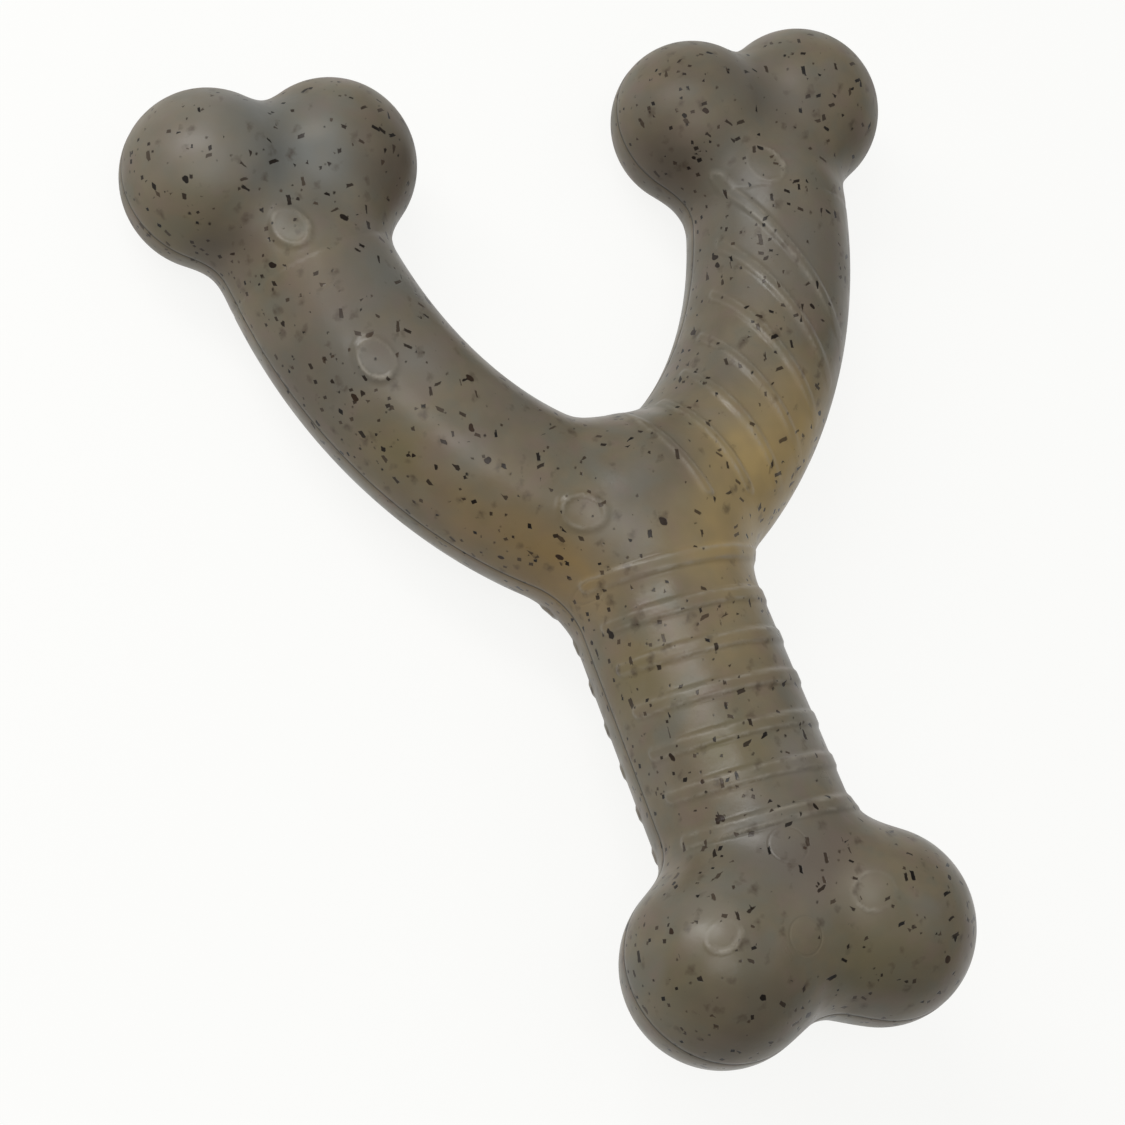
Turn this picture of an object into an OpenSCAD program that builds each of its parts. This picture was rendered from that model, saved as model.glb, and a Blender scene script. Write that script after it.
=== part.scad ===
// Wishbone chew toy, one rubber moulding: a handle and two prongs, each ending in a two-lobed knuckle.
// Millimetres. The handle points to -Y, the prongs to +Y, and Z is up from the floor at z = 0.
// It lies on the belly of the fork and on the outer prong lobes, with its hollow side up.
// The nodes are the regions of the moulding. They meet face to face inside it and never overlap.

/* [Handle] */
// Fork centre to the centre of the handle knuckle
handle_reach = 76.5; // [74:0.5:80]
// Length of the round core inside the handle
handle_core = 70.4; // [68:0.2:73]
// Distance from the flat between the handle and its knuckle to the end of the core
handle_neck_setback = 10; // [9:0.1:11]
// Handle radius at the fork
handle_fork_radius = 16.05; // [15.5:0.05:16.5]
// Handle radius at the knuckle
handle_end_radius = 16.7; // [16:0.05:17.2]

/* [Handle knuckle] */
// Radius of each lobe
handle_lobe_radius = 16; // [15:0.1:17]
// Handle centreline to each lobe centre
handle_lobe_offset = 14.7; // [13.5:0.1:15.5]
// Length of a lobe over its width
handle_lobe_share = 1.02; // [0.98:0.01:1.06]

/* [Prongs] */
// First bend point of the prong centreline, sideways
prong_first_x = 11.5; // [11:0.1:12]
// First bend point of the prong centreline, forwards
prong_first_y = 0.6; // [0.2:0.1:1]
// Second bend point, sideways
prong_second_x = 37.1; // [36:0.1:38]
// Second bend point, forwards
prong_second_y = 17.9; // [17:0.1:19]
// Prong end, sideways
prong_end_x = 44.5; // [43.5:0.1:45.5]
// Prong end, forwards
prong_end_y = 53.2; // [52:0.1:54.5]
// Prong radius in the middle of the fork
prong_fork_radius = 17; // [16.5:0.1:17.5]
// Prong radius towards the first bend point
prong_first_radius = 14.6; // [14:0.1:15.2]
// Prong radius towards the second bend point
prong_second_radius = 15.1; // [14.5:0.1:15.6]
// Prong radius at its end
prong_end_radius = 14.55; // [14:0.05:15]

/* [Prong knuckles] */
// Knuckle centre, sideways
knuckle_x = 46.3; // [45.5:0.1:47]
// Knuckle centre, forwards
knuckle_y = 71.6; // [70.5:0.1:72.6]
// Knuckle centre to each lobe centre
prong_lobe_offset = 11; // [10.4:0.1:11.6]
// Radius of the outer lobe
outer_lobe_radius = 15; // [14.5:0.1:15.5]
// How much smaller the inner lobe's radius is
inner_lobe_less = 0.3; // [0:0.1:0.8]
// Length of a lobe over its width
prong_lobe_share = 1.015; // [0.98:0.005:1.05]

/* [Bow] */
// Rise of the handle for each millimetre along it
handle_rise_share = 0.234; // [0.2:0.002:0.26]
// Fall of the prongs for each millimetre along them
prong_drop_share = 0.036; // [0.03:0.002:0.042]
// Length over which the bow turns from one slope to the other
bow_round = 14.1; // [12:0.1:17]

/* [Blends] */
// Roundness where the three limbs meet
fork_blend = 5.7; // [4.5:0.1:7]
// Roundness between the handle and its lobes
handle_neck_blend = 6.8; // [5.5:0.1:8]
// Roundness between a prong and its lobes
prong_neck_blend = 6.4; // [5:0.1:7.5]
// Roundness of the notch between two lobes
notch_blend = 5.5; // [4.5:0.1:6.5]

/* [Handle rings] */
// Number of raised bars on each face of the handle
ring_count = 7; // [5:1:7]
// Fork centre to the first bar
ring_first = 11.1; // [10.8:0.05:11.4]
// Distance from bar to bar
ring_pitch = 7.55; // [7.4:0.05:7.65]
// Width of a bar
ring_width = 3.4; // [3:0.1:3.8]
// Height of a bar on the top and bottom lines
ring_height = 0.6; // [0.4:0.05:0.8]
// Height of a bar at its ends, as a share of its full height
ring_end_share = 0.5; // [0.4:0.05:0.9]
// Half the angle that a bar covers on its face
ring_turn = 66; // [58:1:72]

/* [Right prong ridges] */
// Number of slanting ridges on each face
ridge_count = 7; // [5:1:7]
// Fork centre to the first ridge, across the ridges
ridge_first = 5.25; // [4.5:0.05:6]
// Distance from the first ridge to the second
ridge_first_gap = 9.2; // [8.4:0.1:10]
// Distance from ridge to ridge after the first two
ridge_pitch = 7.2; // [7:0.05:7.4]
// Width of a ridge
ridge_width = 2.8; // [2.4:0.1:3.2]
// Height of a ridge
ridge_height = 0.45; // [0.3:0.05:0.6]
// Angle between the ridges and the handle line
ridge_slant = 21; // [17:1:25]
// Angle that a ridge covers on the upper face, from the top line towards the other prong
ridge_inner_turn = 60; // [54:1:64]
// Angle that it covers towards the outside, and to both sides on the lower face
ridge_outer_turn = 46; // [40:1:52]
// How far the ridges run below the fork centre
ridge_low = 0.5; // [0.2:0.1:2]
// How far they run past the end of the prong, onto the neck
ridge_high = 2; // [1:0.5:3]

/* [Left prong pads] */
// Half the length of each raised oval pad
pad_half_length = 5; // [4:0.5:6]
// Half the width of each pad
pad_half_width = 3.6; // [3:0.2:4.4]
// Height of a pad
pad_height = 0.35; // [0.25:0.05:0.6]
// Distance of the pads from the prong's centreline, towards the outside
pad_offset = 5.2; // [3:0.1:6]
// Places of the pads, as shares of the way along the prong
pad_shares = [0.29, 0.8, 1.045];

/* [Relief edges] */
// Width of the sloping shoulder of a bar or ridge
shoulder = 0.9; // [0.7:0.05:1.1]
// Share of a pad that slopes
pad_slope_share = 0.35; // [0.25:0.05:0.5]

/* [Colours] */
// Body colour of the rubber
rubber_colour = [0.42, 0.385, 0.33];
// Slightly lighter colour of the knuckle lobes
lobe_colour = [0.47, 0.43, 0.37];

/* [Show] */
// Which node to draw, or all of them

/* [Hidden] */
// Rays round a limb, steps round a lobe's notch plane and from there to its pole
rays = 40;
notch_steps = 24;
lobe_steps = 12;
left_prong_steps = 40;
right_prong_steps = 46;
// Steps of the handle between the fork and its first bar
root_steps = 4;
// Balls that stand for a prong in the fork, and how far along the prong they reach
ball_steps = 30;
ball_share = 0.6;
// Share of a prong in which its cross planes swing round from the fork's planes
swing_share = 0.35;
// The same for the handle, as a multiple of its radius
handle_swing = 1.5*handle_fork_radius;
// Shares after which the knuckles shape a limb too
prong_near_share = 0.7;
handle_near_share = 0.6;

inner_lobe_radius = outer_lobe_radius - inner_lobe_less;
// Fork centre to the flat between the handle and its knuckle
handle_neck = handle_core - handle_neck_setback;
bow_tilt_share = -(handle_rise_share + prong_drop_share)/2;
bow_bend_share = (handle_rise_share - prong_drop_share)/2;
centreline = [[0, 0], [prong_first_x, prong_first_y],
    [prong_second_x, prong_second_y], [prong_end_x, prong_end_y]];
prong_radii = [prong_fork_radius, prong_first_radius, prong_second_radius, prong_end_radius];

// Height of the mid surface, which holds the parting line
function mid_z(y) = bow_tilt_share*y + bow_bend_share*(sqrt(y*y + bow_round*bow_round) - bow_round);
function lifted(p) = [p[0], p[1], mid_z(p[1])];
function unit(v) = v/norm(v);
function mix(a, b, t) = a + (b - a)*t;
function clamp(v, low, high) = max(low, min(high, v));
function ease(t) = let (c = clamp(t, 0, 1)) c*c*(3 - 2*c);

// Lower of two distances, rounded where they are closer together than the blend
function blend(a, b, width) = let (h = max(width - abs(a - b), 0)) min(a, b) - h*h/(4*width);

function cubic(v, s) = v[0]*pow(1 - s, 3) + 3*v[1]*s*pow(1 - s, 2) + 3*v[2]*s*s*(1 - s) + v[3]*pow(s, 3);
function prong_plan(s) = cubic(centreline, s);
function prong_centre(s) = lifted(prong_plan(s));
function prong_radius(s) = cubic(prong_radii, s);
function prong_heading(s) = unit((centreline[1] - centreline[0])*pow(1 - s, 2)
    + (centreline[2] - centreline[1])*2*s*(1 - s) + (centreline[3] - centreline[2])*s*s);
function handle_radius(y) = mix(handle_fork_radius, handle_end_radius, -y/handle_reach);

prong_end = prong_centre(1);
prong_balls = [for (i = [0:ball_steps]) let (s = ball_share*i/ball_steps) [prong_centre(s), prong_radius(s)]];

// Distance of a point from each part of the surface, negative inside
function handle_gap(p) = let (y = clamp(p[1], -handle_core, 0))
    norm([p[0], p[1] - y, p[2] - mid_z(y)]) - handle_radius(y);
function prong_gap(p) = min([for (b = prong_balls) norm(p - b[0]) - b[1]]);
function fork_gap(p) = let (prongs = blend(prong_gap(p), prong_gap([-p[0], p[1], p[2]]), fork_blend))
    blend(prongs, handle_gap(p), fork_blend);
function lobe_gap(p, centre, radius, share) = let (v = p - centre,
    w = [v[0], v[1]/share, v[2]], n = norm(w), g = norm([w[0], w[1]/share, w[2]]))
    n == 0 ? -radius : (n - radius)*n/g;

prong_knuckle = lifted([knuckle_x, knuckle_y]);
outer_centre = lifted([knuckle_x + prong_lobe_offset, knuckle_y]);
inner_centre = lifted([knuckle_x - prong_lobe_offset, knuckle_y]);
handle_knuckle = lifted([0, -handle_reach]);
handle_lobe_centre = lifted([-handle_lobe_offset, -handle_reach]);
handle_lobe_mirror = lifted([handle_lobe_offset, -handle_reach]);

function prong_lobes_gap(p) = blend(lobe_gap(p, outer_centre, outer_lobe_radius, prong_lobe_share),
    lobe_gap(p, inner_centre, inner_lobe_radius, prong_lobe_share), notch_blend);
function handle_lobes_gap(p) = blend(lobe_gap(p, handle_lobe_centre, handle_lobe_radius, handle_lobe_share),
    lobe_gap(p, handle_lobe_mirror, handle_lobe_radius, handle_lobe_share), notch_blend);

// One number for each zone of the moulding: 0 fork, 1 plain prong, 2 prong near its knuckle,
// 3 prong knuckle, 4 handle and its knuckle. The core is the limb's own centre and radius.
function gap(p, zone, core) = zone == 0 ? fork_gap(p)
    : zone == 1 ? norm(p - core[0]) - core[1]
    : zone == 2 ? blend(norm(p - core[0]) - core[1], prong_lobes_gap(p), prong_neck_blend)
    : zone == 3 ? blend(norm(p - prong_end) - prong_end_radius, prong_lobes_gap(p), prong_neck_blend)
    : blend(handle_gap(p), handle_lobes_gap(p), handle_neck_blend);

// Length of a ray from a point inside to the surface, in four secant steps
function next_length(a, ga, b, gb) = abs(gb - ga) <= abs(b - a)/1000 ? b : b - gb*(b - a)/(gb - ga);
function reach(from, way, guess, zone, core) = let (
    a = guess, ga = gap(from + way*a, zone, core),
    b = a - ga, gb = gap(from + way*b, zone, core),
    c = next_length(a, ga, b, gb), gc = gap(from + way*c, zone, core),
    d = next_length(b, gb, c, gc), gd = gap(from + way*d, zone, core))
    next_length(c, gc, d, gd);

// Relief, as heights over the plain surface. The turn is the angle from the top or bottom line.
function shoulder_height(d, width, height) = height*ease((width/2 - d)/shoulder);
function arc(radius, turn) = radius*max(turn, 0)*PI/180;
function nearest(v, first, pitch, count) = first + pitch*clamp(round((v - first)/pitch), 0, count - 1);
function ring_relief(p) = let (
    off = -p[1] - nearest(-p[1], ring_first, ring_pitch, ring_count),
    turn = atan2(abs(p[0]), abs(p[2] - mid_z(p[1]))),
    height = ring_height*mix(1, ring_end_share, ease(turn/ring_turn)))
    shoulder_height(norm([off, arc(handle_fork_radius, turn - ring_turn)]), ring_width, height);
function right_of(s) = let (h = prong_heading(min(s, 1))) [h[1], -h[0]];
function extended_plan(s) = s <= 1 ? prong_plan(s)
    : prong_plan(1) + (s - 1)*3*(centreline[3] - centreline[2]);
function ridge_relief(p, s) = let (
    across = p[0]*cos(ridge_slant) + p[1]*sin(ridge_slant),
    off = min(abs(across - ridge_first),
        abs(across - nearest(across, ridge_first + ridge_first_gap, ridge_pitch, ridge_count - 1))),
    from = [p[0], p[1]] - prong_plan(s), side = from*right_of(s), high = p[2] - mid_z(p[1]),
    turn = atan2(abs(side), abs(high)) - (high > 0 && side < 0 ? ridge_inner_turn : ridge_outer_turn),
    beyond = s < 1 ? 0 : max(from*prong_heading(1) - ridge_high, 0),
    past = arc(prong_radius(s), turn) + max(-p[1] - ridge_low, 0) + beyond)
    shoulder_height(norm([off, past]), ridge_width, ridge_height);
function pad_relief(p) = p[2] < mid_z(p[1]) ? 0 : max([for (k = pad_shares) let (
    right = right_of(k), from = [p[0], p[1]] - extended_plan(k) - pad_offset*right,
    along = from*[-right[1], right[0]]/pad_half_length, across = from*right/pad_half_width)
    pad_height*ease((1 - norm([along, across]))/pad_slope_share)]);
function relief(p, s, style) = max(ring_relief(p), style == "ridges" ? ridge_relief(p, s) : pad_relief(p));

// Sides of a prong's cross planes: they start on the planes between the limbs and swing square
function prong_side(s, side) = let (h = prong_heading(s)) prong_plan(s) + side*prong_radius(s)*[h[1], -h[0]];
outer_valley = [handle_fork_radius, -handle_fork_radius];
inner_valley = [0, prong_fork_radius];
function prong_guide(s, side) = s >= swing_share ? prong_side(s, side)
    : mix(side > 0 ? outer_valley : inner_valley, prong_side(swing_share, side), s/swing_share);
function handle_guide(d, side) = [-side*handle_fork_radius,
    d >= handle_swing ? -d : -handle_fork_radius - d*(1 - handle_fork_radius/handle_swing)];

// Angles run from the top over the right side, seen along the limb
function ray_angle(i) = 360*i/rays;
function ray_way(angle, right, left) = let (side = angle <= 180 ? right : left)
    [side[0]*abs(sin(angle)), side[1]*abs(sin(angle)), cos(angle)];

function prong_ring(s, style) = let (
    plan = prong_plan(s), centre = prong_centre(s), radius = prong_radius(s),
    right = unit(prong_guide(s, 1) - plan), left = unit(prong_guide(s, -1) - plan),
    zone = s <= swing_share ? 0 : s < prong_near_share ? 1 : 2)
    [for (i = [0:rays - 1]) let (
        angle = ray_angle(i), way = ray_way(angle, right, left),
        plain = zone == 1 ? radius : reach(centre, way, radius, zone, [centre, radius]),
        p = centre + way*plain)
        p + way*relief(p, s, style)];

function handle_ring(d) = let (
    centre = lifted([0, -d]), plan = [0, -d],
    right = unit(handle_guide(d, 1) - plan), left = unit(handle_guide(d, -1) - plan),
    zone = d <= handle_swing ? 0 : d < handle_near_share*handle_reach ? 1 : 4)
    [for (i = [0:rays - 1]) let (
        way = ray_way(ray_angle(i), right, left), radius = handle_radius(-d),
        plain = zone == 1 ? radius : reach(centre, way, radius, zone, [centre, radius]),
        p = centre + way*plain)
        p + way*ring_relief(p)];

// Rings of points joined into one closed solid, with a fan from a centre point at each end
module limb(rings, start, end) {
    count = len(rings);
    last = count*rays;
    points = concat([for (r = rings) each r], [start, end]);
    sides = [for (j = [0:count - 2]) for (i = [0:rays - 1]) let (
        a = j*rays + i, b = j*rays + (i + 1) % rays, c = b + rays, d = a + rays)
        each [[a, d, c], [a, c, b]]];
    start_fan = [for (i = [0:rays - 1]) [last, i, (i + 1) % rays]];
    end_fan = [for (i = [0:rays - 1]) [last + 1, last - rays + (i + 1) % rays, last - rays + i]];
    polyhedron(concat(points), concat(sides, start_fan, end_fan), convexity = 6);
}

function between(a, b, t) = let (w = acos(clamp(a*b, -1, 1))) (a*sin((1 - t)*w) + b*sin(t*w))/sin(w);

function raised(p, way, style) = style == "plain" ? p : p + way*relief(p, 1, style);

// Half a knuckle: from the neck's half ring and the notch plane to the pole of one lobe
module lobe(neck_ring, neck, knuckle, tip_way, centre, radius, side, zone, style) {
    half = rays/2;
    neck_half = [for (i = [0:half]) neck_ring[(rays + side*i) % rays]];
    neck_way = unit([neck[0] - knuckle[0], neck[1] - knuckle[1]]);
    low = neck_half[half] - knuckle;
    high = neck_half[0] - knuckle;
    first_angle = 180 + atan2(norm([low[0], low[1]]), -low[2]);
    last_angle = -atan2(norm([high[0], high[1]]), high[2]);
    notch = [for (k = [1:notch_steps - 1]) let (
        angle = mix(first_angle, last_angle, k/notch_steps),
        side_way = angle >= 0 && angle <= 180 ? tip_way : neck_way,
        way = [side_way[0]*abs(sin(angle)), side_way[1]*abs(sin(angle)), cos(angle)])
        raised(knuckle + way*reach(knuckle, way, radius, zone, []), way, style)];
    rim = concat(neck_half, notch);
    around = len(rim);
    pole_way = unit(centre - knuckle);
    skin = [for (j = [1:lobe_steps - 1]) for (p = rim) let (
        way = between(unit(p - centre), pole_way, j/lobe_steps))
        raised(centre + way*reach(centre, way, radius, zone, []), way, style)];
    pole = centre + pole_way*reach(centre, pole_way, radius, zone, []);
    points = concat(rim, skin, [pole, neck, knuckle]);
    tip = around*lobe_steps;
    sides = [for (j = [0:lobe_steps - 2]) for (i = [0:around - 1]) let (
        a = j*around + i, b = j*around + (i + 1) % around, c = b + around, d = a + around)
        each [[a, d, c], [a, c, b]]];
    pole_fan = [for (i = [0:around - 1]) [tip - around + i, tip, tip - around + (i + 1) % around]];
    neck_fan = [for (i = [0:half - 1]) [tip + 1, i, i + 1]];
    notch_fan = [for (i = [half:around - 1]) [tip + 2, i, (i + 1) % around]];
    join = [[tip + 2, 0, tip + 1], [tip + 2, tip + 1, half]];
    faces = concat(sides, pole_fan, neck_fan, notch_fan, join);
    polyhedron(points, side > 0 ? faces : [for (f = faces) [f[2], f[1], f[0]]], convexity = 4);
}

// The part is moved so that its box is centred over the origin and its belly lies on the floor
front_edge = knuckle_y + outer_lobe_radius*prong_lobe_share;
back_edge = handle_reach + handle_lobe_radius*handle_lobe_share;
forward_shift = (back_edge - front_edge)/2;
belly_depth = reach([0, 0, 0], [0, 0, -1], prong_fork_radius, 0, []);
lobe_depth = outer_lobe_radius - outer_centre[2];
module placed() translate([0, forward_shift, max(belly_depth, lobe_depth)]) children();

// Cross planes of the handle: both shoulders of each bar and the middle between bars, up to the neck
bar_places = ceil(handle_neck/ring_pitch);
bar_stations = [for (k = [0:bar_places]) let (c = ring_first + k*ring_pitch, w = ring_width/2)
    each [c - w, c - w + shoulder, c + w - shoulder, c + w, c + ring_pitch/2]];
handle_stations = concat(
    [for (i = [0:root_steps - 1]) (ring_first - ring_width/2)*i/root_steps],
    [for (d = bar_stations) if (d < handle_neck - shoulder) d],
    [handle_neck]);

module handle() color(rubber_colour) placed()
    limb([for (d = handle_stations) handle_ring(d)], lifted([0, 0]), lifted([0, -handle_neck]));

module prong(style, steps) limb([for (i = [0:steps]) prong_ring(i/steps, style)], prong_centre(0), prong_end);

module left_prong() color(rubber_colour) placed() mirror([1, 0, 0]) prong("pads", left_prong_steps);

module right_prong() color(rubber_colour) placed() prong("ridges", right_prong_steps);

module handle_lobe() lobe(handle_ring(handle_neck), lifted([0, -handle_neck]), handle_knuckle, [0, -1],
    handle_lobe_centre, handle_lobe_radius, 1, 4, "plain");

module handle_lobe_left() color(lobe_colour) placed() handle_lobe();

module handle_lobe_right() color(lobe_colour) placed() mirror([1, 0, 0]) handle_lobe();

module outer_lobe(style) lobe(prong_ring(1, style), prong_end, prong_knuckle, [0, 1],
    outer_centre, outer_lobe_radius, 1, 3, style);

module inner_lobe(style) lobe(prong_ring(1, style), prong_end, prong_knuckle, [0, 1],
    inner_centre, inner_lobe_radius, -1, 3, style);

module left_prong_lobe_outer() color(lobe_colour) placed() mirror([1, 0, 0]) outer_lobe("pads");

module left_prong_lobe_inner() color(lobe_colour) placed() mirror([1, 0, 0]) inner_lobe("pads");

module right_prong_lobe_inner() color(lobe_colour) placed() inner_lobe("ridges");

module right_prong_lobe_outer() color(lobe_colour) placed() outer_lobe("ridges");

handle();
left_prong();
right_prong();
handle_lobe_left();
handle_lobe_right();
left_prong_lobe_outer();
left_prong_lobe_inner();
right_prong_lobe_inner();
right_prong_lobe_outer();
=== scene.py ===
import math
import bmesh
import bpy
import numpy as np
from mathutils import Matrix, Vector


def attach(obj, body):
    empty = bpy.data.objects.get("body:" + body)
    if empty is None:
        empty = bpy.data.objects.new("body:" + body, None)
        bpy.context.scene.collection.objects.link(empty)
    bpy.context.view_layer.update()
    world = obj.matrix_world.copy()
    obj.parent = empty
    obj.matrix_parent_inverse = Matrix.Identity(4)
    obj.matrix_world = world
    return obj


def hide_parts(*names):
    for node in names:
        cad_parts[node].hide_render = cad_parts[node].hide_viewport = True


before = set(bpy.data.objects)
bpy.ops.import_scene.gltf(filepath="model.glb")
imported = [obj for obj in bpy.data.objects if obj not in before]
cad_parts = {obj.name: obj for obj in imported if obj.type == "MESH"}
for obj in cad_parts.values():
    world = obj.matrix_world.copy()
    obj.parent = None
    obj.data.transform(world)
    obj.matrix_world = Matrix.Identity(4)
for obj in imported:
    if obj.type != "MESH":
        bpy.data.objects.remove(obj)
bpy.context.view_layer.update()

# Sizes in millimetres, as in the part's source. The fork centre is the origin until the mesh is placed.
# Handle: from the fork centre to the knuckle centre, to the end of the round core and to the neck
HANDLE_REACH = 76.5
HANDLE_CORE = 70.4
HANDLE_NECK = 60.4
HANDLE_FORK_RADIUS = 16.05
HANDLE_END_RADIUS = 16.7
# Handle lobes: radius, distance from the centreline, and length over width
HANDLE_LOBE = 16.0
HANDLE_LOBE_X = 14.7
HANDLE_LOBE_LONG = 1.02
# Right prong: bend points of its centreline in the plan, and the radius that goes with each
CURVE = np.array([[0, 0], [11.5, 0.6], [37.1, 17.9], [44.5, 53.2]], float)
RADII = np.array([17.0, 14.6, 15.1, 14.55])
# Its knuckle: centre, distance of the lobes from it, their radii, and length over width
KNUCKLE = np.array([46.3, 71.6])
LOBE_X = 11.0
OUTER_LOBE = 15.0
INNER_LOBE = 14.7
LOBE_LONG = 1.015
# Bow of the mid surface: slope of the handle, slope of the prongs, and how round the bend between them is
RISE = 0.234
DROP = 0.036
ROUND = 14.1
TILT = -(RISE + DROP) / 2
BEND = (RISE - DROP) / 2
# Widths of the blends between limbs and lobes
FORK_BLEND = 5.7
HANDLE_BLEND = 6.8
PRONG_BLEND = 6.4
NOTCH_BLEND = 5.5
# Bars on the handle: places, size, height at the ends as a share, and half the angle that they cover
RING_FIRST = 11.1
RING_PITCH = 7.55
RING_COUNT = 7
RING_WIDTH = 3.4
RING_HEIGHT = 0.6
RING_END = 0.5
RING_TURN = 66.0
# Ridges on the right prong: places, size, slant, the angles that they cover and how far they run on
RIDGE_FIRST = 5.25
RIDGE_FIRST_GAP = 9.2
RIDGE_PITCH = 7.2
RIDGE_COUNT = 7
RIDGE_WIDTH = 2.8
RIDGE_HEIGHT = 0.45
RIDGE_SLANT = 21.0
RIDGE_INNER = 60.0
RIDGE_OUTER = 46.0
RIDGE_LOW = 0.5
RIDGE_HIGH = 2.0
# Ovals on the left prong: half sizes, height, distance from the centreline, sloping share and places
PAD_LONG = 5.0
PAD_WIDE = 3.6
PAD_HEIGHT = 0.35
PAD_OFFSET = 5.2
PAD_SLOPE = 0.35
PAD_PLACES = (0.29, 0.8, 1.045)
# Width of the sloping edge of a bar or ridge
SHOULDER = 0.9
# Place of the fork centre in the part's frame
FORK_Y = 2.9975
FORK_Z = 18.9099

# Finer things that only the scene has, in millimetres
# Share of a ridge's height that is lost towards its inner and its outer end
RIDGE_FADE_INNER = 0.6
RIDGE_FADE_OUTER = 0.9
# Raised line round each oval: its width, height and sloping edge, and the share that wear takes off
LINE_WIDTH = 1.0
LINE_HEIGHT = 0.2
LINE_EDGE = 0.4
LINE_WEAR = 0.8
# Size of the line round a pad, as a share of the pad
PAD_LINE = 0.7
# Plain ovals on the right neck and the handle lobes, where the real toy is embossed:
# the centre, the angle of the long axis from +Y and the two half sizes
MARKS = ((39.6, 57.6, -12, 3.6, 2.7), (7.4, -71.6, 75, 3.8, 3.0), (-19.7, -72.7, 60, 3.0, 2.2))
# The worn side of a mark's line is turned by its angle times this
MARK_WORN_SIDE = 5
# Parting groove: half its width, and its depth
GROOVE_HALF = 0.7
GROOVE_DEPTH = 0.1
# Pale edges, partly rubbing and partly painted highlight lines: a point that stands this much higher than
# the points a step away is fully pale
PALE_EDGE_STEP = 0.4
PALE_EDGE_FULL = 0.06

GRID = 1.65
GRID_BOX = ((-76.3, 78), (-96.7, 92), (-23.1, 39))
RELAX_ROUNDS = 4
RELAX_KEEP = 0.4
RELAX_MOVE = 0.6
SPLITS = 2
SLOPE_STEP = 0.05
BATCH = 40000
MM_PER_METRE = 1000.0
TINY = 1e-9
TINY_AREA = 1e-12
# A normal with more than this of its length upright is crossed with X, any other with Z
UPRIGHT = 0.9
# How far from a seam's plane faces are cut, and how far a cut runs on; how near a vertex snaps to it
MARGIN = 0.8
SNAP = 0.03


def mid_z(y):
    """Height of the bowed mid surface over the fork centre."""
    return TILT * y + BEND * (np.sqrt(y * y + ROUND * ROUND) - ROUND)


def rounded_min(a, b, width):
    """The smaller of two distances, with a blend of the given width between them."""
    h = np.maximum(width - np.abs(a - b), 0)
    return np.minimum(a, b) - h * h / (4 * width)


def cubic(v, s):
    """Place on a cubic curve, or radius, at a share of the way along it."""
    s = s[..., None] if v.ndim > 1 else s
    return v[0] * (1 - s) ** 3 + 3 * v[1] * s * (1 - s) ** 2 + 3 * v[2] * s * s * (1 - s) + v[3] * s ** 3


def centre(s):
    """Place on the right prong's centreline."""
    c = cubic(CURVE, s)
    return np.concatenate([c, mid_z(c[..., 1])[..., None]], -1)


def heading(s):
    """Direction of the right prong in the plan, away from the fork."""
    s = s[..., None]
    legs = np.diff(CURVE, axis=0)
    d = legs[0] * (1 - s) ** 2 + legs[1] * 2 * s * (1 - s) + legs[2] * s * s
    return d / np.linalg.norm(d, axis=-1, keepdims=True)


# A prong is a row of balls. The nearest is found first, and then finer steps close in on the place.
STEPS = np.linspace(0, 1, 33)
FINER_STEPS = (1 / 32, 1 / 200)
BALLS = centre(STEPS)
BALL_RADII = cubic(RADII, STEPS)


def ball_gap(p, s):
    """Distance from the prong's ball at a share of the way along it."""
    return np.linalg.norm(p - centre(s), axis=1) - cubic(RADII, s)


def prong(p):
    """Distance from the right prong's skin, and the share of the way along it."""
    d = np.sqrt(((p[:, None] - BALLS) ** 2).sum(-1)) - BALL_RADII
    s = STEPS[d.argmin(1)]
    best = d.min(1)
    for h in FINER_STEPS:
        g = [ball_gap(p, np.clip(s + k, 0, 1)) for k in (-h, 0, h)]
        bend = g[0] - 2 * g[1] + g[2]
        move = np.where(bend > TINY, 0.5 * (g[0] - g[2]) / np.where(bend > TINY, bend, 1), 0)
        s = np.clip(s + h * np.clip(move, -1, 1), 0, 1)
    return np.minimum(ball_gap(p, s), best), s


def ball(p, c, radius, long):
    """Distance from a ball that is stretched along Y."""
    w = (p - c) / [1, long, 1]
    n = np.linalg.norm(w, axis=1) + TINY
    return (n - radius) * n / (np.linalg.norm(w / [1, long, 1], axis=1) + TINY)


def lifted(x, y):
    """A point of the plan, put on the bowed mid surface."""
    return np.array([x, y, mid_z(np.float64(y))])


def prong_and_lobes(p):
    outer = ball(p, lifted(KNUCKLE[0] + LOBE_X, KNUCKLE[1]), OUTER_LOBE, LOBE_LONG)
    inner = ball(p, lifted(KNUCKLE[0] - LOBE_X, KNUCKLE[1]), INNER_LOBE, LOBE_LONG)
    return rounded_min(prong(p)[0], rounded_min(outer, inner, NOTCH_BLEND), PRONG_BLEND)


def gap(points):
    """Distance of points from the plain skin, negative inside."""
    out = []
    for p in np.array_split(points, max(1, len(points) // BATCH)):
        y = np.clip(p[:, 1], -HANDLE_CORE, 0)
        core = np.sqrt(p[:, 0] ** 2 + (p[:, 1] - y) ** 2 + (p[:, 2] - mid_z(y)) ** 2)
        core -= HANDLE_FORK_RADIUS + (HANDLE_END_RADIUS - HANDLE_FORK_RADIUS) * -y / HANDLE_REACH
        right, left = (ball(p, lifted(x, -HANDLE_REACH), HANDLE_LOBE, HANDLE_LOBE_LONG)
                       for x in (HANDLE_LOBE_X, -HANDLE_LOBE_X))
        handle = rounded_min(core, rounded_min(right, left, NOTCH_BLEND), HANDLE_BLEND)
        prongs = rounded_min(prong_and_lobes(p), prong_and_lobes(p * [-1, 1, 1]), FORK_BLEND)
        out.append(rounded_min(prongs, handle, FORK_BLEND))
    return np.concatenate(out)


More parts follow.
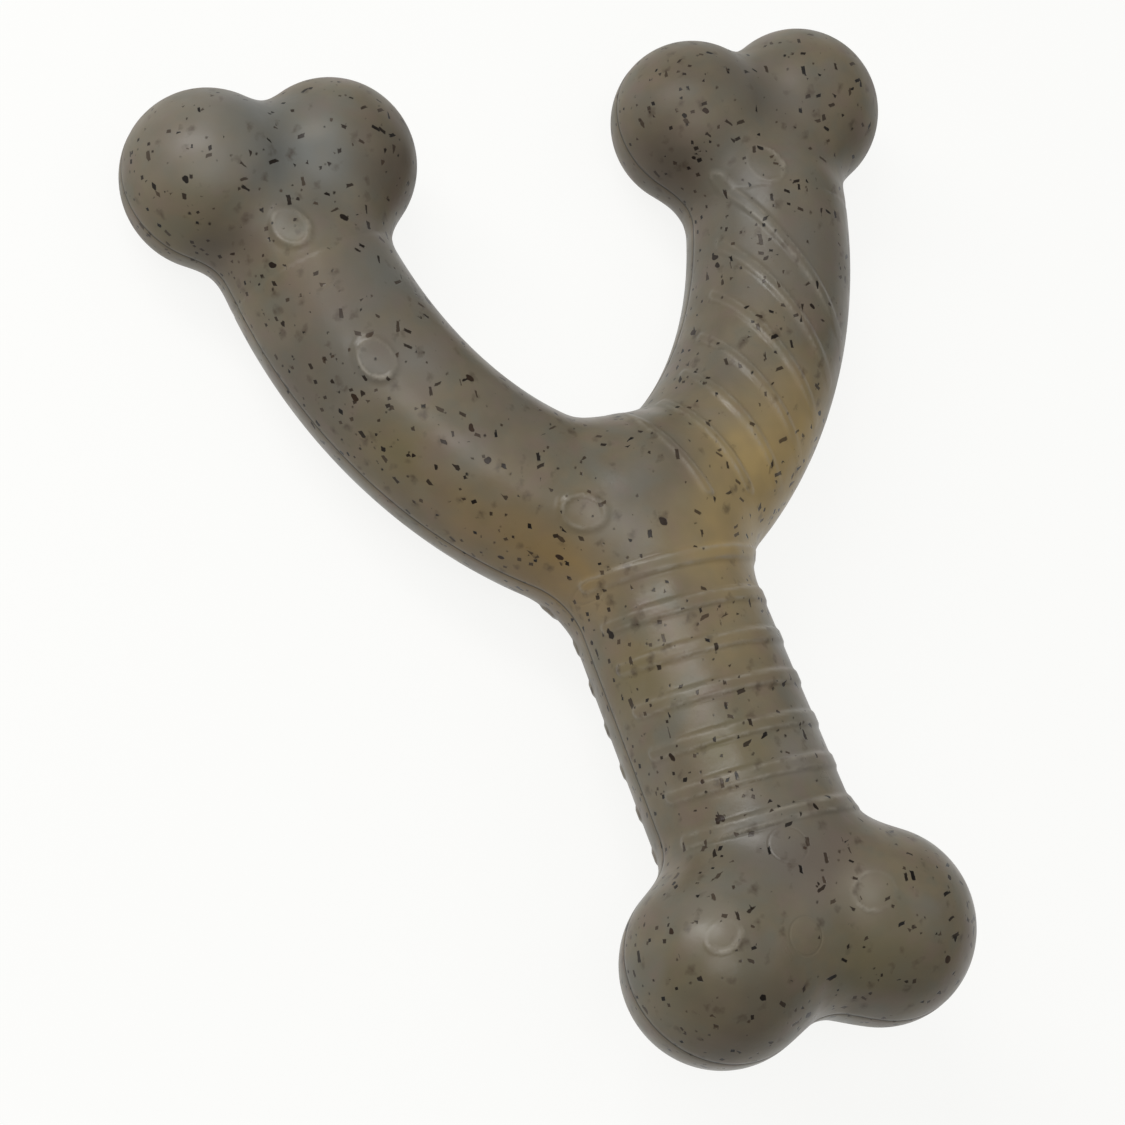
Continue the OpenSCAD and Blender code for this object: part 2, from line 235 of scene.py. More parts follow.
CORNERS = np.array([[1, 1, 1], [1, -1, -1], [-1, 1, -1], [-1, -1, 1]], float)


def slope(points):
    """Outward unit normals of the plain skin and the distance from it."""
    g = [gap(points + SLOPE_STEP * c) for c in CORNERS]
    n = sum(v[:, None] * c for v, c in zip(g, CORNERS)) / (4 * SLOPE_STEP)
    size = np.linalg.norm(n, axis=1, keepdims=True)
    return n / size, sum(g) / 4 / size[:, 0]


def onto_skin(v, rounds):
    """Points moved onto the plain skin along its slope."""
    for _ in range(rounds):
        n, d = slope(v)
        v = v - n * d[:, None]
    return v


def net(step):
    """A quad mesh round the skin, one vertex in each grid cell that the skin crosses."""
    axes = [np.arange(low, high, step) for low, high in GRID_BOX]
    grid = np.stack(np.meshgrid(*axes, indexing="ij"), -1)
    shape = grid.shape[:3]
    f = gap(grid.reshape(-1, 3)).reshape(shape)
    inside = f < 0
    cells = tuple(n - 1 for n in shape)
    total, count = np.zeros(cells + (3,)), np.zeros(cells)
    for axis in range(3):
        others = [a for a in range(3) if a != axis]
        for i in (0, 1):
            for j in (0, 1):
                start, stop = [slice(None, -1)] * 3, [slice(None, -1)] * 3
                start[others[0]] = stop[others[0]] = slice(i, shape[others[0]] - 1 + i)
                start[others[1]] = stop[others[1]] = slice(j, shape[others[1]] - 1 + j)
                stop[axis] = slice(1, None)
                start, stop = tuple(start), tuple(stop)
                cross = inside[start] != inside[stop]
                t = np.where(cross, f[start] / np.where(cross, f[start] - f[stop], 1), 0)[..., None]
                total += np.where(cross[..., None], grid[start] * (1 - t) + grid[stop] * t, 0)
                count += cross
    used = count > 0
    number = np.full(cells, -1)
    number[used] = np.arange(used.sum())
    verts = total[used] / count[used][:, None]
    quads = []
    for axis in range(3):
        a, b = (axis + 1) % 3, (axis + 2) % 3
        low, high = [slice(1, -1)] * 3, [slice(1, -1)] * 3
        low[axis], high[axis] = slice(0, -1), slice(1, None)
        first, second = inside[tuple(low)], inside[tuple(high)]
        spots = np.argwhere(first != second)
        flip = first[tuple(spots.T)]
        spots = spots + [0 if k == axis else 1 for k in range(3)]
        ring = []
        for da, db in ((1, 1), (0, 1), (0, 0), (1, 0)):
            cell = spots.copy()
            cell[:, a] -= da
            cell[:, b] -= db
            ring.append(number[tuple(cell.T)])
        ring = np.stack(ring, 1)
        ring[~flip] = ring[~flip][:, ::-1]
        quads.append(ring)
    return verts, np.concatenate(quads)


def edges_of(quads):
    """The mesh's edges, and the numbers of each face's four."""
    e = np.concatenate([quads[:, [0, 1]], quads[:, [1, 2]], quads[:, [2, 3]], quads[:, [3, 0]]])
    unique, back = np.unique(np.sort(e, 1), axis=0, return_inverse=True)
    return unique, back.reshape(4, -1).T


def relax(v, quads):
    """Even out the mesh along the skin."""
    e, _ = edges_of(quads)
    for _ in range(RELAX_ROUNDS):
        total, count = np.zeros_like(v), np.zeros(len(v))
        for i, j in ((0, 1), (1, 0)):
            np.add.at(total, e[:, i], v[e[:, j]])
            np.add.at(count, e[:, i], 1)
        v = onto_skin(v * RELAX_KEEP + total / count[:, None] * RELAX_MOVE, 1)
    return v


def split(v, quads):
    """Each quad becomes four."""
    e, of_face = edges_of(quads)
    mids, faces = v[e].mean(1), v[quads].mean(1)
    em, fm = len(v) + of_face, len(v) + len(e) + np.arange(len(quads))
    new = [np.stack([quads[:, i], em[:, i], fm, em[:, i - 1]], 1) for i in range(4)]
    return np.concatenate([v, mids, faces]), np.concatenate(new)


def ease(t):
    t = np.clip(t, 0, 1)
    return t * t * (3 - 2 * t)


def shoulder(d, width, height):
    """Height of a bar at a distance from its middle line."""
    return height * ease((width / 2 - d) / SHOULDER)


def past(radius, turn):
    """Length of the arc by which a turn in degrees goes past nothing."""
    return radius * np.maximum(turn, 0) * math.pi / 180


def off_line(v, first, pitch, count):
    """Distance from the nearest of some even lines."""
    return v - first - pitch * np.clip(np.round((v - first) / pitch), 0, count - 1)


def worn_line(u, v, turn, half_wide):
    """A raised line round an oval: u and v are shares of its half sizes."""
    away = np.abs(np.hypot(u, v) - 1) * half_wide
    wear = LINE_WEAR * ease(0.5 + np.cos(np.arctan2(v, u) - math.radians(turn)))
    return LINE_HEIGHT * (1 - wear) * ease((LINE_WIDTH / 2 - away) / LINE_EDGE)


def pads(p):
    """Low ovals on the left prong's upper face: p is mirrored to the right."""
    h = np.zeros(len(p))
    for k in PAD_PLACES:
        s = np.array([min(k, 1.0)])
        ahead = heading(s)[0]
        right = np.array([ahead[1], -ahead[0]])
        spot = cubic(CURVE, s)[0] + max(k - 1, 0) * 3 * (CURVE[3] - CURVE[2]) + PAD_OFFSET * right
        along, across = (p[:, :2] - spot) @ ahead / PAD_LONG, (p[:, :2] - spot) @ right / PAD_WIDE
        raised = PAD_HEIGHT * ease((1 - np.hypot(along, across)) / PAD_SLOPE)
        line = worn_line(along / PAD_LINE, across / PAD_LINE, 360 * k, PAD_LINE * PAD_WIDE)
        h = np.maximum(h, raised + line)
    return np.where(p[:, 2] > mid_z(p[:, 1]), h, 0)


def marks(p):
    """Plain raised ovals on the upper faces of the right neck and the handle lobes."""
    h = np.zeros(len(p))
    for x, y, turn, half_long, half_wide in MARKS:
        c, s = math.cos(math.radians(turn)), math.sin(math.radians(turn))
        v = p[:, :2] - [x, y]
        line = worn_line(v @ [s, c] / half_long, v @ [c, -s] / half_wide, MARK_WORN_SIDE * turn, half_wide)
        h = np.maximum(h, line)
    return np.where(p[:, 2] > mid_z(p[:, 1]), h, 0)


def groove(p):
    """The parting line is sunk a little."""
    return -GROOVE_DEPTH * ease(1 - np.abs(p[:, 2] - mid_z(p[:, 1])) / GROOVE_HALF)


def bars(p):
    """The raised bars on both faces of the handle."""
    off = off_line(-p[:, 1], RING_FIRST, RING_PITCH, RING_COUNT)
    turn = np.degrees(np.arctan2(np.abs(p[:, 0]), np.abs(p[:, 2] - mid_z(p[:, 1]))))
    height = RING_HEIGHT * (1 + (RING_END - 1) * ease(turn / RING_TURN))
    return shoulder(np.hypot(off, past(HANDLE_FORK_RADIUS, turn - RING_TURN)), RING_WIDTH, height)


def ridges(p):
    """The slanting ridges on both faces of the right prong."""
    high = p[:, 2] - mid_z(p[:, 1])
    s = prong(p)[1]
    ahead = heading(s)
    side = ((p[:, :2] - cubic(CURVE, s)) * np.stack([ahead[:, 1], -ahead[:, 0]], 1)).sum(1)
    across = p[:, 0] * math.cos(math.radians(RIDGE_SLANT)) + p[:, 1] * math.sin(math.radians(RIDGE_SLANT))
    off = np.minimum(np.abs(across - RIDGE_FIRST),
                     np.abs(off_line(across, RIDGE_FIRST + RIDGE_FIRST_GAP, RIDGE_PITCH, RIDGE_COUNT - 1)))
    turn = np.degrees(np.arctan2(np.abs(side), np.abs(high)))
    limit = np.where((high > 0) & (side < 0), RIDGE_INNER, RIDGE_OUTER)
    fade = np.where(side < 0, RIDGE_FADE_INNER, RIDGE_FADE_OUTER)
    height = RIDGE_HEIGHT * (1 - fade * ease(turn / limit))
    ahead_of_end = (p[:, :2] - CURVE[3]) @ heading(np.ones(1))[0]
    end = past(cubic(RADII, s), turn - limit)
    end = end + np.maximum(-p[:, 1] - RIDGE_LOW, 0) + np.maximum(ahead_of_end - RIDGE_HIGH, 0)
    return shoulder(np.hypot(off, end), RIDGE_WIDTH, height)


def relief(p):
    """Height of the raised bars, ridges and pads over the plain skin."""
    h = bars(p)
    right = p[:, 0] > 0
    h[right] = np.maximum(h[right], ridges(p[right]))
    h[~right] = np.maximum(h[~right], pads(p[~right] * [-1, 1, 1]))
    return h


def wear(points, normals):
    """1 where a point is on an outer edge of the relief, 0 where the relief is flat. These edges are made
    pale, partly as rubbing and partly as painted highlight lines.
    """
    upright = np.abs(normals[:, 2:]) >= UPRIGHT
    one = np.cross(normals, np.where(upright, [[1.0, 0.0, 0.0]], [[0.0, 0.0, 1.0]]))
    one /= np.linalg.norm(one, axis=1)[:, None]
    two = np.cross(normals, one)
    ways = (PALE_EDGE_STEP * one, -PALE_EDGE_STEP * one, PALE_EDGE_STEP * two, -PALE_EDGE_STEP * two)
    around = sum(relief(points + way) + marks(points + way) for way in ways) / len(ways)
    return np.clip((relief(points) + marks(points) - around) / PALE_EDGE_FULL, 0, 1)


def fine_skin():
    """The whole moulded skin as small quads, with its relief, in millimetres from the fork centre."""
    v, quads = net(GRID)
    v = relax(onto_skin(v, 2), quads)
    for _ in range(SPLITS):
        v, quads = split(v, quads)
        v = onto_skin(v, 1)
    n, d = slope(v)
    v = v - n * d[:, None]
    return v + n * (relief(v) + marks(v) + groove(v))[:, None], quads


# Plan of the regions: each limb ends at a neck, and a knuckle is cut in two from its neck to its tip
PRONG_AHEAD = heading(np.ones(1))[0]
NECK_TO_KNUCKLE = KNUCKLE - CURVE[3]
MIRROR = np.array([-1, 1])


def seams():
    """Upright planes between the regions: a point, the normal, and where in the plan the plane counts."""
    yield (0, 0), (1, 0), lambda x, y: y > -MARGIN or y < MARGIN - HANDLE_NECK
    yield (0, -HANDLE_NECK), (0, 1), lambda x, y: y < 0
    for side in (1, -1):
        flip = MIRROR if side < 0 else 1
        yield (0, 0), (side, 1), lambda x, y: side * x > -MARGIN and y < MARGIN
        yield CURVE[3] * flip, PRONG_AHEAD * flip, lambda x, y: side * x > 0
        yield (CURVE[3] * flip, (side * NECK_TO_KNUCKLE[1], -NECK_TO_KNUCKLE[0]),
               lambda x, y: side * x > 0 and CURVE[3][1] - MARGIN < y < KNUCKLE[1] + MARGIN)
        yield KNUCKLE * flip, (1, 0), lambda x, y: side * x > 0 and y > KNUCKLE[1] - MARGIN


def region(x, y):
    """Name of the CAD node that a point of the plan belongs to."""
    side = "left" if x < 0 else "right"
    if y < -abs(x):
        return "handle" if y > -HANDLE_NECK else "handle_lobe_" + side
    v = np.array([abs(x), y]) - CURVE[3]
    if v @ PRONG_AHEAD < 0:
        return side + "_prong"
    if y > KNUCKLE[1]:
        outer = abs(x) > KNUCKLE[0]
    else:
        outer = v[0] * NECK_TO_KNUCKLE[1] > v[1] * NECK_TO_KNUCKLE[0]
    return side + "_prong_lobe_" + ("outer" if outer else "inner")


def hubs(name):
    """The neck's plan point and direction, and the plan point of the region's other inner wall."""
    flip = MIRROR if name.startswith("left") else 1
    if name.startswith("handle"):
        neck, ahead, knuckle = np.array([0, -HANDLE_NECK]), np.array([0, -1]), (0, -HANDLE_REACH)
    else:
        neck, ahead, knuckle = CURVE[3] * flip, PRONG_AHEAD * flip, KNUCKLE * flip
    return neck, ahead, knuckle if "lobe" in name else (0, 0)


def cut_regions(v, quads):
    """Cut the skin along the seams. Gives its points, their normals and each region's faces."""
    mesh = bpy.data.meshes.new("whole")
    mesh.from_pydata(v.tolist(), [], quads.tolist())
    bm = bmesh.new()
    bm.from_mesh(mesh)
    bpy.data.meshes.remove(mesh)
    for point, normal, counts in seams():
        point, normal = Vector((*point, 0)), Vector((*normal, 0)).normalized()
        faces = []
        for f in bm.faces:
            c = f.calc_center_median()
            if abs((c - point).dot(normal)) < MARGIN and counts(c.x, c.y):
                faces.append(f)
        geom = faces + list({e for f in faces for e in f.edges}) + list({u for f in faces for u in f.verts})
        bmesh.ops.bisect_plane(bm, geom=geom, dist=SNAP, plane_co=point, plane_no=normal)
    bm.normal_update()
    bm.verts.index_update()
    points, normals = np.array([u.co for u in bm.verts]), np.array([u.normal for u in bm.verts])
    regions = {name: [] for name in sorted(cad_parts)}
    for f in bm.faces:
        c = f.calc_center_median()
        regions[region(c.x, c.y)].append([u.index for u in f.verts])
    bm.free()
    return points, normals, regions


def open_edges(faces):
    """Edges that only one face has, in that face's direction."""
    pairs = {(a, b) for f in faces for a, b in zip(f, f[1:] + f[:1])}
    return sorted((a, b) for a, b in pairs if (b, a) not in pairs)


def closed(name, points, faces):
    """Close a region with flat inner walls, each a fan from a point on the limb's centreline."""
    neck, ahead, other = hubs(name)
    points = np.concatenate([points, [lifted(*neck), lifted(*other)]])
    neck_hub, other_hub = len(points) - 2, len(points) - 1
    walls = []
    for a, b in open_edges(faces):
        at_neck = abs(((points[a] + points[b])[:2] / 2 - neck) @ ahead) < 2 * SNAP
        walls.append([b, a, neck_hub if at_neck else other_hub])
    walls += [[b, a, neck_hub] for a, b in open_edges(faces + walls) if neck_hub not in (a, b)]
    return points, walls


def build_piece(name, points, normals, rubbed_and_highlit, faces):
    """One region as a closed piece, smooth outside and flat on its inner walls."""
    used = np.unique(np.concatenate([np.array(f) for f in faces]))
    number = np.full(len(points), -1)
    number[used] = np.arange(len(used))
    faces = [number[f].tolist() for f in faces]
    points, walls = closed(name, points[used], faces)
    mesh = bpy.data.meshes.new(name + "_skin")
    mesh.from_pydata(((points + [0, FORK_Y, FORK_Z]) / MM_PER_METRE).tolist(), [], faces + walls)
    mesh.polygons.foreach_set("use_smooth", np.ones(len(mesh.polygons), bool))
    at_corner = [normals[used[i]] for f in faces for i in f]
    for wall in walls:
        a, b, c = points[wall]
        n = np.cross(b - a, c - a)
        at_corner += [n / (np.linalg.norm(n) + TINY_AREA)] * 3
    mesh.normals_split_custom_set(at_corner)
    # Pale share of each point's edges, partly rubbing and partly painted highlight lines
    pale = np.zeros(len(points))
    pale[:len(used)] = rubbed_and_highlit[used]
    mesh.attributes.new("rubbed_and_highlit", "FLOAT", "POINT").data.foreach_set("value", pale)
    piece = bpy.data.objects.new(name + "_skin", mesh)
    bpy.context.scene.collection.objects.link(piece)
    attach(piece, "root")
    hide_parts(name)
    return piece


class Shader:
    """Short calls for the nodes of one material."""

    def __init__(self, name):
        self.material = bpy.data.materials.new(name)
        self.material.use_nodes = True
        self.nodes, self.links = self.material.node_tree.nodes, self.material.node_tree.links
        self.nodes.clear()

    def add(self, kind, *values, **settings):
        """A node with its enabled inputs filled in order."""
        node = self.nodes.new("ShaderNode" + kind)
        for key, value in settings.items():
            setattr(node, key, value)
        enabled = [s for s in node.inputs if s.enabled]
        for socket, value in zip(enabled, values):
            if isinstance(value, bpy.types.NodeSocket):
                self.links.new(value, socket)
            else:
                socket.default_value = value
        return node

    def out(self, kind, *values, **settings):
        return next(s for s in self.add(kind, *values, **settings).outputs if s.enabled)

    def math(self, operation, *values):
        return self.out("Math", *values, operation=operation)

    def vector(self, operation, *values):
        return self.out("VectorMath", *values, operation=operation)

    def ramp(self, value, low, high, to_low=0.0, to_high=1.0):
        return self.out("MapRange", value, low, high, to_low, to_high, interpolation_type="SMOOTHSTEP")

    def noise(self, where, size, detail=2.0, roughness=0.5):
        node = self.add("TexNoise", where, 1 / size, detail, roughness)
        return node.outputs["Fac"], node.outputs["Color"]

    def mix(self, share, a, b):
        return self.out("Mix", share, a, b, data_type="RGBA")

    def spot(self, where, centre, radius):
        """1 in the middle of a soft ball, 0 outside it."""
        return self.ramp(self.vector("DISTANCE", where, centre), radius, 0.0)


# Size of a chip's wobble as a share of its cell
WOBBLE_SIZE = 0.45
# Crowds of chips: their size in millimetres, and how much fewer or more cells hold a chip
CROWD_SIZE = 14.0
CROWD_LEAST = 0.6
CROWD_MOST = 1.4
# Smallest chip as a share of the largest, and how far apart the patterns of two seeds lie
SMALLEST_CHIP = 0.6
SEED_STEPS = (37.0, 19.0, 53.0)


def flecks(s, where, seed, size, long, turn, share, radius, edge, wobbly, metric):
    """Chips cast into the rubber: 1 inside a chip. Each cell holds one chip or none."""
    wobble = s.vector("SUBTRACT", s.noise(where, size * WOBBLE_SIZE)[1], (0.5, 0.5, 0.5))
    place = tuple(seed * step for step in SEED_STEPS)
    local = s.out("Mapping", where, place, turn, (size * long, size, size), vector_type="TEXTURE")
    uneven = s.vector("ADD", local, s.vector("SCALE", wobble, wobbly))
    cells = s.add("TexVoronoi", uneven, 1.0, distance=metric)
    chance = s.add("SeparateColor", cells.outputs["Color"]).outputs
    crowd = s.ramp(s.noise(where, CROWD_SIZE, 1.0)[0], 0.3, 0.7, CROWD_LEAST * share, CROWD_MOST * share)
    here = s.math("LESS_THAN", chance[0], crowd)
    least = SMALLEST_CHIP * radius
    limit = s.math("MULTIPLY", s.math("MULTIPLY_ADD", chance[1], radius - least, least), here)
    deep_in = s.math("SUBTRACT", limit, cells.outputs["Distance"])
    inside = s.out("MapRange", deep_in, 0.0, edge * radius, 0.0, 1.0)
    return s.math("MULTIPLY", inside, here), chance[2]


# Chips: seed, cell size in millimetres, length over width, turn, share of cells that hold one, radius
# as a share of the cell, soft edge as a share of the radius, wobble, and metric, which gives the form
BLURRED_SPOTS = (1, 3.0, 1.5, (0.4, 0.2, 0.9), 0.9, 0.36, 0.8, 0.7, "EUCLIDEAN")
CHIPS = (
    (2, 2.4, 3.3, (0.3, 0.3, 0.3), 0.9, 0.15, 0.15, 0.16, "CHEBYCHEV"),
    (3, 2.4, 2.9, (-0.3, 0.2, 1.4), 0.9, 0.15, 0.15, 0.16, "CHEBYCHEV"),
    (4, 2.4, 2.4, (0.2, -0.3, 2.5), 0.9, 0.15, 0.15, 0.16, "CHEBYCHEV"),
    (5, 1.8, 1.4, (0.0, 0.3, 0.7), 0.5, 0.2, 0.6, 0.3, "EUCLIDEAN"),
)
LARGE_CHIPS = (6, 5.0, 1.5, (0.5, 0.3, 2.0), 0.5, 0.13, 0.1, 0.3, "EUCLIDEAN")
# Strength of the blurred spots, and of the faintest small chip
SPOT_STRENGTH = 0.6
FAINTEST_CHIP = 0.78

# Colours of the compound, linear; some of them also serve as painted highlights and painted shade, as
# marked where they are used
BASE_LOW = (0.122, 0.102, 0.067, 1)
BASE_HIGH = (0.154, 0.126, 0.081, 1)
ROSY = (0.15, 0.108, 0.085, 1)
GREENISH = (0.112, 0.112, 0.085, 1)
AMBER = (0.228, 0.152, 0.062, 1)
GOLD = (0.31, 0.224, 0.096, 1)
OLIVE = (0.125, 0.106, 0.056, 1)
PINK = (0.138, 0.102, 0.078, 1)
BLUE = (0.125, 0.126, 0.114, 1)
GREY = (0.122, 0.111, 0.094, 1)
DARK = (0.082, 0.068, 0.05, 1)
PALE = (0.166, 0.156, 0.135, 1)
# Pale for rubbed edges and for the spots round the handle lobes' ovals, partly standing in for painted
# highlights
RUBBED_AND_HIGHLIGHT = (0.25, 0.225, 0.18, 1)
SPOT_BROWN = (0.042, 0.026, 0.016, 1)
CHIP_BLACK = (0.003, 0.002, 0.001, 1)
CHIP_BROWN = (0.03, 0.016, 0.008, 1)
LINE_DARK = (0.03, 0.027, 0.022, 1)

# Mottling: sizes in millimetres, places in the noise, and the most that each tint covers
BASE_MOTTLE = 7.0
BROAD_MOTTLE = 11.0
BROAD_PLACE = (91.0, 17.0, 44.0)
SMALL_MOTTLE = 5.0
SMALL_PLACE = (5.0, 71.0, 23.0)
PINK_MOST = 0.5
BLUE_MOST = 0.45
ROSY_MOST = 0.45
GREENISH_MOST = 0.4
# Patches in the local tints: size, least and most
PATCH_SIZE = 9.0
PATCH_LEAST = 0.55
PATCH_MOST = 1.2
# Local tints, among them painted highlights and painted shade marked below: centre from the fork in
# millimetres, radius, colour and strength
TINTS = (
    ((-42, 36, 6), 24, GREY, 0.8), ((-22, 20, 8), 16, GREY, 0.5), ((38, 44, 6), 24, GREY, 0.8),
    ((22, 20, 8), 14, GREY, 0.5), ((0, 4, 16), 14, GREY, 0.4), ((44, 74, 8), 18, GREY, 0.7),
    ((-19, -7, 6), 17, AMBER, 0.9), ((-30, 3, 6), 15, AMBER, 0.5), ((-41, 16, 6), 13, AMBER, 0.3),
    ((20, 0, 10), 22, GOLD, 1.5), ((33, 9, 8), 18, GOLD, 0.9), ((8, -9, 15), 18, GOLD, 0.9),
    ((1, -26, 19), 14, GOLD, 0.3), ((-14, -28, 14), 10, AMBER, 0.6), ((-8, -46, 20), 14, PINK, 0.3),
    # The pale spot at (-62, 74, 8) is a painted highlight on the upper left of the outer left lobe
    ((-62, 74, 8), 16, PALE, 0.8), ((-45, 69, 8), 18, BLUE, 1.0), ((-50, 78, 6), 13, BLUE, 0.8),
    # The dark spot at (-46, 60, 9) is painted shade in the crease below the left knuckle's lobes
    ((-46, 60, 9), 9, DARK, 0.35), ((-36, 48, 9), 13, BLUE, 0.6), ((34, 58, 8), 14, BLUE, 0.4),
    ((-4, -63, 29), 16, BLUE, 0.8), ((0, -65, 28), 14, PINK, 0.6), ((-20, -68, 28), 12, BLUE, 0.4),
    ((-60, 57, 2), 9, PINK, 0.6), ((26, 62, 0), 10, PINK, 0.7), ((-49, 45, 10), 9, PINK, 0.5),
    ((22, 74, 6), 10, PINK, 0.4), ((-30, 66, 6), 9, PINK, 0.5),
    ((-66, 63, 3), 12, OLIVE, 0.6), ((-22, -80, 28), 14, OLIVE, 0.7), ((6, -80, 29), 14, OLIVE, 0.7),
    # The dark spots on this line darken the right prong's knuckle, partly its own tone and partly painted
    # shade where the light falls off
    ((24, 63, 4), 15, DARK, 0.75), ((32, 76, 8), 12, DARK, 0.6), ((52, 68, 9), 15, DARK, 0.4),
    # The dark spots on this line are painted shade: in the crease under the outer left lobe, and on the
    # right side of the inner left lobe
    ((-59, 57, 3), 12, DARK, 0.9), ((-28, 70, 8), 13, DARK, 0.6),
    ((-20, -84, 28), 16, DARK, 0.8), ((10, -84, 26), 12, DARK, 0.3),
    # The dark spot at (36, 57, 9) is painted shade that damps the highlight on the right neck
    ((-12, -58, 24), 11, DARK, 0.35), ((36, 57, 9), 10, DARK, 0.5),
    # The dark spot at (-33, 66, 9) is painted shade on the lower right of the inner left lobe
    ((-33, 66, 9), 10, DARK, 0.35), ((-4, -64, 29), 12, DARK, 0.3),
    # The pale spot at (-12, -3, 16) is a painted highlight on the fork
    ((10, -43, 20), 11, PALE, 0.5), ((-12, -3, 16), 9, PALE, 0.5), ((-14, -29, 14), 10, OLIVE, 1.0),
    ((-6, -43, 24), 10, OLIVE, 1.0), ((4, -48, 26), 7, PALE, 0.7), ((-36, 30, 13), 9, PALE, 0.5),
    # The pale spot at (-32, 14, 12) is a painted highlight along the top of the left prong, and the dark
    # spot at (-53, 33, 2) is painted shade on the left prong's outer flank
    ((-53, 33, 2), 11, DARK, 0.4), ((-43, 18, 7), 9, OLIVE, 0.7), ((-32, 14, 12), 7, PALE, 0.4),
    # The two pale spots here, round the ovals on the handle lobes, are partly rubbing and partly a painted
    # highlight on those lobes
    ((5.6, -71.7, 32), 7, RUBBED_AND_HIGHLIGHT, 0.55), ((-20, -71, 31), 7, RUBBED_AND_HIGHLIGHT, 0.25),
)
# Pale edges, partly rubbing and partly painted highlight lines: size of the patches in millimetres, and the
# least and most that they are made pale
PALE_EDGE_SIZE = 2.5
PALE_EDGE_LEAST = 0.15
PALE_EDGE_MOST = 0.6
# Faint circles left by the mould: centre in the plan and radius, and half the width of their line
MOULD_CIRCLES = ((-3.7, -61.4, 3.0), (-6.5, -75.9, 3.0), (-15.6, -12.0, 1.6))
CIRCLE_LINE = 0.35
# The parting line: how dark it is, and the distances from mid height between which it fades
PARTING_DARK = 0.7
PARTING_OUTER = 0.3
PARTING_INNER = 0.12
# Bump in millimetres: size and height of the waves and pores, and the sinking of chips and lines
WAVE_SIZE = 4.0
WAVE_HEIGHT = 0.08
PORE_SIZE = 0.7
PORE_HEIGHT = 0.012
CHIP_SINK = -0.025
PARTING_SINK = -0.07
CIRCLE_SINK = -0.05
# Roughness: size of its patches, least and most, and what is added towards the prong knuckles,
# which grows between two distances from the fork centre
ROUGH_SIZE = 6.0
ROUGH_LEAST = 0.27
ROUGH_MOST = 0.39
ROUGH_MORE = 0.1
ROUGH_FROM = 50.0
ROUGH_TO = 62.0
RUBBER_IOR = 1.32


def mottled(s, where):
    """Grey-brown with broad and small mottling and the local tints, among them painted highlights and
    painted shade.
    """
    colour = s.mix(s.ramp(s.noise(where, BASE_MOTTLE, 3.0)[0], 0.3, 0.7), BASE_LOW, BASE_HIGH)
    broad = s.noise(s.vector("ADD", where, BROAD_PLACE), BROAD_MOTTLE)[0]
    colour = s.mix(s.ramp(broad, 0.52, 0.75, 0.0, PINK_MOST), colour, PINK)
    colour = s.mix(s.ramp(broad, 0.48, 0.25, 0.0, BLUE_MOST), colour, BLUE)
    small = s.noise(s.vector("ADD", where, SMALL_PLACE), SMALL_MOTTLE)[0]
    colour = s.mix(s.ramp(small, 0.5, 0.7, 0.0, ROSY_MOST), colour, ROSY)
    colour = s.mix(s.ramp(small, 0.5, 0.32, 0.0, GREENISH_MOST), colour, GREENISH)
    patchy = s.ramp(s.noise(where, PATCH_SIZE)[0], 0.25, 0.75, PATCH_LEAST, PATCH_MOST)
    for centre, radius, tint, strength in TINTS:
        share = s.math("MULTIPLY", s.math("MULTIPLY", s.spot(where, centre, radius), patchy), strength)
        colour = s.mix(share, colour, tint)
    return colour


def chipped(s, where, colour):
    """The colour with chips in it, from blurred ones deep in the compound to sharp ones at the surface."""
    deep, _ = flecks(s, where, *BLURRED_SPOTS)
    colour = s.mix(s.math("MULTIPLY", deep, SPOT_STRENGTH), colour, SPOT_BROWN)
    pits = 0.0
    for settings in CHIPS + (LARGE_CHIPS,):
        inside, chance = flecks(s, where, *settings)
        strength = 1.0 if settings is LARGE_CHIPS else s.ramp(chance, 1.0, 0.0, FAINTEST_CHIP, 1.0)
        black = s.mix(chance, CHIP_BLACK, CHIP_BROWN)
        colour = s.mix(s.math("MULTIPLY", inside, strength), colour, black)
        pits = s.math("MAXIMUM", inside, pits)
    return colour, pits


def mould_circles(s, where, high):
    """1 on the circles that the mould left on the upper face."""
    circles = 0.0
    flat = s.vector("MULTIPLY", where, (1.0, 1.0, 0.0))
    for x, y, radius in MOULD_CIRCLES:
        off = s.math("ABSOLUTE", s.math("SUBTRACT", s.vector("DISTANCE", flat, (x, y, 0.0)), radius))
        circles = s.math("MAXIMUM", s.ramp(off, CIRCLE_LINE, 0.0), circles)
    return s.math("MULTIPLY", circles, s.math("GREATER_THAN", high, 0.0))


